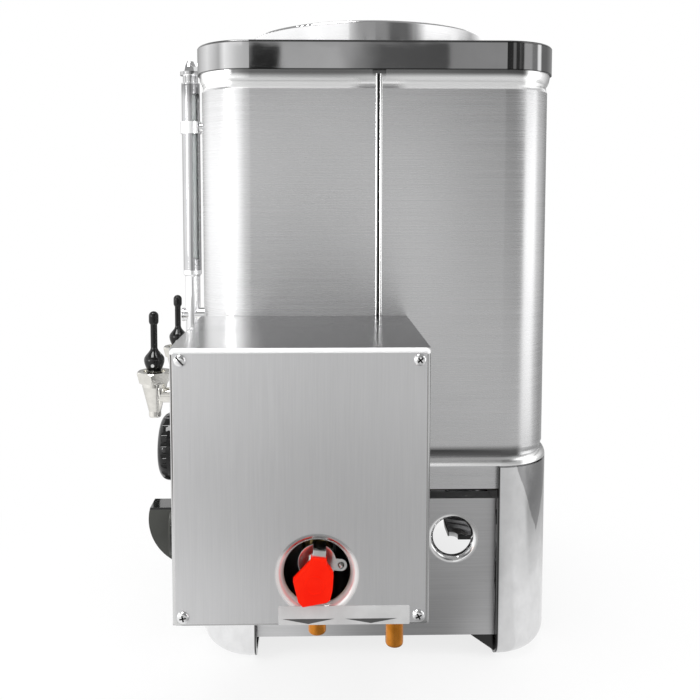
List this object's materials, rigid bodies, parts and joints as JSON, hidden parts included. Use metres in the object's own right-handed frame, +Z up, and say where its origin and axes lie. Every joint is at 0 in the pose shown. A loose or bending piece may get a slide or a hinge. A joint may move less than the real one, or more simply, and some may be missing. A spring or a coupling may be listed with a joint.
{
  "type": "gas coffee urn",
  "caption": "Square jacketed coffee urn on cast corner feet with lever taps, a guarded gauge glass, a lidded brew basket and a side gas control box.",
  "frame": {"origin": "on the ground, under the middle of the part's outer box", "axes": "+Z up; taps and gauge face -Y; the gas control box stands on the +X side"},
  "size_m": [0.5896, 0.4704, 0.7215],
  "materials": {
    "brushed_steel": "brushed stainless steel, horizontal grain on the tank",
    "polished_steel": "polished stainless steel",
    "cast_aluminium": "polished cast aluminium",
    "cast_iron": "raw casting, heat darkened",
    "copper": "drawn copper tube",
    "brass": "machined brass",
    "nickel_plate": "satin nickel plate",
    "plated_steel": "zinc plated steel",
    "black_plastic": "glossy black phenolic",
    "red_vinyl": "dipped vinyl sleeve",
    "gauge_glass": "clear glass tube",
    "seal_rubber": "silicone"
  },
  "bodies": {
    "urn": {"tank_shell": "brushed_steel", "tank_floor": "brushed_steel", "coffee_liner": "brushed_steel", "base_band": "brushed_steel", "skirt_front": "brushed_steel", "skirt_right": "brushed_steel", "skirt_rear": "brushed_steel", "skirt_left": "brushed_steel", "box_shell": "brushed_steel", "box_cover": "brushed_steel", "liner_outlet": "brushed_steel", "seam_strips": "polished_steel", "top_cover": "polished_steel", "brew_collar": "polished_steel", "gauge_guard": "polished_steel", "gauge_cap": "polished_steel", "gauge_clip": "polished_steel", "cover_screws": "polished_steel", "foot_front_right": "cast_aluminium", "foot_rear_right": "cast_aluminium", "foot_rear_left": "cast_aluminium", "foot_front_left": "cast_aluminium", "gas_control": "cast_aluminium", "gas_feed_pipe": "cast_aluminium", "burner": "cast_iron", "burner_bracket": "cast_iron", "gas_inlet_tube": "copper", "gas_link_tube": "copper", "water_inlet_tube": "copper", "thermostat_probe": "copper", "gas_valve_body": "brass", "water_union": "brass", "tap_lock_nuts": "brass", "tap_body_right": "nickel_plate", "tap_bonnet_right": "nickel_plate", "tap_body_left": "nickel_plate", "tap_bonnet_left": "nickel_plate", "gauge_base": "nickel_plate", "gauge_plug": "nickel_plate", "gauge_glass": "gauge_glass", "tap_gaskets": "seal_rubber"},
    "lid": {"lid": "polished_steel", "lid_knob": "black_plastic"},
    "basket": {"filter_basket": "brushed_steel"},
    "tap_plunger_right": {"tap_stem_right": "plated_steel", "tap_seat_right": "seal_rubber", "tap_pin_right": "plated_steel"},
    "tap_handle_right": {"tap_lever_right": "black_plastic"},
    "tap_plunger_left": {"tap_stem_left": "plated_steel", "tap_seat_left": "seal_rubber", "tap_pin_left": "plated_steel"},
    "tap_handle_left": {"tap_lever_left": "black_plastic"},
    "thermostat": {"thermostat_dial": "black_plastic"},
    "gas_cock_shaft": {"gas_knob_shaft": "plated_steel"},
    "gas_cock_knob": {"gas_knob": "black_plastic"},
    "shut_off": {"gas_valve_stem": "brass", "valve_handle": "plated_steel", "handle_grip": "red_vinyl", "valve_nut": "plated_steel"}
  },
  "joints": [
    {"name": "lid_lift", "type": "slide", "parent": "urn", "child": "lid", "axis": [0, 0, 1], "range_m": [0, 0.15]},
    {"name": "basket_lift", "type": "slide", "parent": "urn", "child": "basket", "axis": [0, 0, 1], "range_m": [0, 0.011]},
    {"name": "tap_stem_lift_right", "type": "slide", "parent": "urn", "child": "tap_plunger_right", "axis": [0, 0, 1], "range_m": [0, 0.00325]},
    {"name": "tap_lever_turn_right", "type": "hinge", "parent": "tap_plunger_right", "child": "tap_handle_right", "pos_m": [-0.01635, -0.21625, 0.307], "axis": [1, 0, 0], "range_deg": [0, 28], "stiffness_Nm_per_rad": 0.4},
    {"name": "tap_stem_lift_left", "type": "slide", "parent": "urn", "child": "tap_plunger_left", "axis": [0, 0, 1], "range_m": [0, 0.00325]},
    {"name": "tap_lever_turn_left", "type": "hinge", "parent": "tap_plunger_left", "child": "tap_handle_left", "pos_m": [-0.18435, -0.21625, 0.307], "axis": [1, 0, 0], "range_deg": [0, 28], "stiffness_Nm_per_rad": 0.4},
    {"name": "thermostat_turn", "type": "hinge", "parent": "urn", "child": "thermostat", "pos_m": [0.23965, -0.14525, 0.285], "axis": [0, -1, 0], "range_deg": [0, 270]},
    {"name": "gas_knob_push", "type": "slide", "parent": "urn", "child": "gas_cock_shaft", "axis": [0, 1, 0], "range_m": [0, 0.004], "stiffness_N_per_m": 600},
    {"name": "gas_knob_turn", "type": "hinge", "parent": "gas_cock_shaft", "child": "gas_cock_knob", "pos_m": [0.23965, -0.14525, 0.21], "axis": [0, -1, 0], "range_deg": [0, 180]},
    {"name": "gas_valve_turn", "type": "hinge", "parent": "urn", "child": "shut_off", "pos_m": [0.28465, -0.02325, 0.192], "axis": [1, 0, 0], "range_deg": [0, 90]}
  ],
  "couplings": [
    {"joint": "tap_stem_lift_right", "follows": "tap_lever_turn_right", "m_per_rad": 0.0066},
    {"joint": "tap_stem_lift_left", "follows": "tap_lever_turn_left", "m_per_rad": 0.0066}
  ]
}
